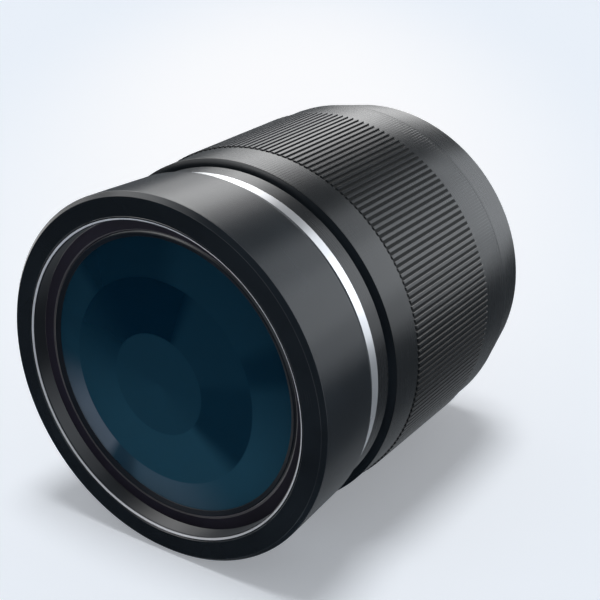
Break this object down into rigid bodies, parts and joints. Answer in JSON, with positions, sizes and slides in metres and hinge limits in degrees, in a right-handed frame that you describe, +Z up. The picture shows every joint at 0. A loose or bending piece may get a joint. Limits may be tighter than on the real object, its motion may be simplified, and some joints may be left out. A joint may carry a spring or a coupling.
{
  "type": "line scan lens",
  "caption": "Camera lens barrel with a ribbed focus ring, a turning iris barrel, coated front glass, filter thread and a threaded camera flange.",
  "frame": {"origin": "centre of the camera flange face, on the optical axis", "axes": "+Y along the optical axis towards the camera, so the front glass looks towards -Y; +Z up"},
  "size_m": [0.0716, 0.0832, 0.0716],
  "materials": {
    "dark_barrel": "satin dark grey anodised",
    "grey_tube": "satin grey anodised",
    "black_metal": "matte black anodised, finely turned",
    "bright_ring": "bright turned",
    "thread_brass": "fine turned",
    "screw_steel": "darkened steel",
    "blade_steel": "thin blackened steel",
    "front_glass": "coated glass, blue and teal sheen",
    "inner_glass": "coated glass"
  },
  "bodies": {
    "rear_housing": {"rear_barrel": "dark_barrel", "guide_sleeve": "grey_tube", "focus_retaining_ring": "black_metal", "retaining_ring_screws": "screw_steel", "focus_stop_pin": "screw_steel", "camera_mount_ring": "bright_ring", "mount_screws": "screw_steel", "rear_baffle": "black_metal"},
    "focus_ring_body": {"focus_ring": "dark_barrel", "helicoid_nut": "thread_brass"},
    "lens_head": {"focus_tube": "grey_tube", "guide_keys": "thread_brass", "chrome_ring": "bright_ring", "filter_ring": "bright_ring", "trim_ring": "black_metal", "front_retaining_ring": "black_metal", "lens_barrel": "black_metal", "front_element": "front_glass", "second_element": "inner_glass", "third_element": "inner_glass", "front_cell": "black_metal", "front_cell_ring": "black_metal", "iris_hub_plate": "black_metal", "iris_pivot_plate": "black_metal", "rear_cell": "black_metal", "fourth_element": "inner_glass", "fifth_element": "inner_glass", "rear_cell_ring": "black_metal", "rear_element_cell": "black_metal", "sixth_element": "inner_glass", "rear_element_ring": "black_metal", "barrel_retaining_ring": "black_metal"},
    "iris_ring_body": {"iris_ring": "dark_barrel", "iris_drive_screw": "screw_steel", "iris_link_sleeve": "grey_tube", "iris_cam_pin": "screw_steel", "iris_cam_ring": "thread_brass"},
    "blade_1": {"iris_blade_1": "blade_steel"},
    "blade_2": {"iris_blade_2": "blade_steel"},
    "blade_3": {"iris_blade_3": "blade_steel"},
    "blade_4": {"iris_blade_4": "blade_steel"},
    "blade_5": {"iris_blade_5": "blade_steel"},
    "blade_6": {"iris_blade_6": "blade_steel"}
  },
  "joints": [
    {"name": "head_slide", "type": "slide", "parent": "rear_housing", "child": "lens_head", "axis": [0, -1, 0], "range_m": [0, 0.01]},
    {"name": "focus_turn", "type": "hinge", "parent": "rear_housing", "child": "focus_ring_body", "pos_m": [0, 0, 0], "axis": [0, -1, 0], "range_deg": [0, 200]},
    {"name": "iris_turn", "type": "hinge", "parent": "lens_head", "child": "iris_ring_body", "pos_m": [0, 0, 0], "axis": [0, -1, 0], "range_deg": [0, 52]},
    {"name": "blade_1_swing", "type": "hinge", "parent": "lens_head", "child": "blade_1", "pos_m": [-0.01768, -0.0496, -0.01768], "axis": [0, -1, 0], "range_deg": [0, 26]},
    {"name": "blade_2_swing", "type": "hinge", "parent": "lens_head", "child": "blade_2", "pos_m": [0.00647, -0.0496, -0.02415], "axis": [0, -1, 0], "range_deg": [0, 26]},
    {"name": "blade_3_swing", "type": "hinge", "parent": "lens_head", "child": "blade_3", "pos_m": [0.02415, -0.0496, -0.00647], "axis": [0, -1, 0], "range_deg": [0, 26]},
    {"name": "blade_4_swing", "type": "hinge", "parent": "lens_head", "child": "blade_4", "pos_m": [0.01768, -0.0496, 0.01768], "axis": [0, -1, 0], "range_deg": [0, 26]},
    {"name": "blade_5_swing", "type": "hinge", "parent": "lens_head", "child": "blade_5", "pos_m": [-0.00647, -0.0496, 0.02415], "axis": [0, -1, 0], "range_deg": [0, 26]},
    {"name": "blade_6_swing", "type": "hinge", "parent": "lens_head", "child": "blade_6", "pos_m": [-0.02415, -0.0496, 0.00647], "axis": [0, -1, 0], "range_deg": [0, 26]}
  ],
  "couplings": [
    {"joint": "focus_turn", "follows": "head_slide", "rad_per_m": 349.06},
    {"joint": "blade_1_swing", "follows": "iris_turn", "ratio": 0.5},
    {"joint": "blade_2_swing", "follows": "iris_turn", "ratio": 0.5},
    {"joint": "blade_3_swing", "follows": "iris_turn", "ratio": 0.5},
    {"joint": "blade_4_swing", "follows": "iris_turn", "ratio": 0.5},
    {"joint": "blade_5_swing", "follows": "iris_turn", "ratio": 0.5},
    {"joint": "blade_6_swing", "follows": "iris_turn", "ratio": 0.5}
  ]
}
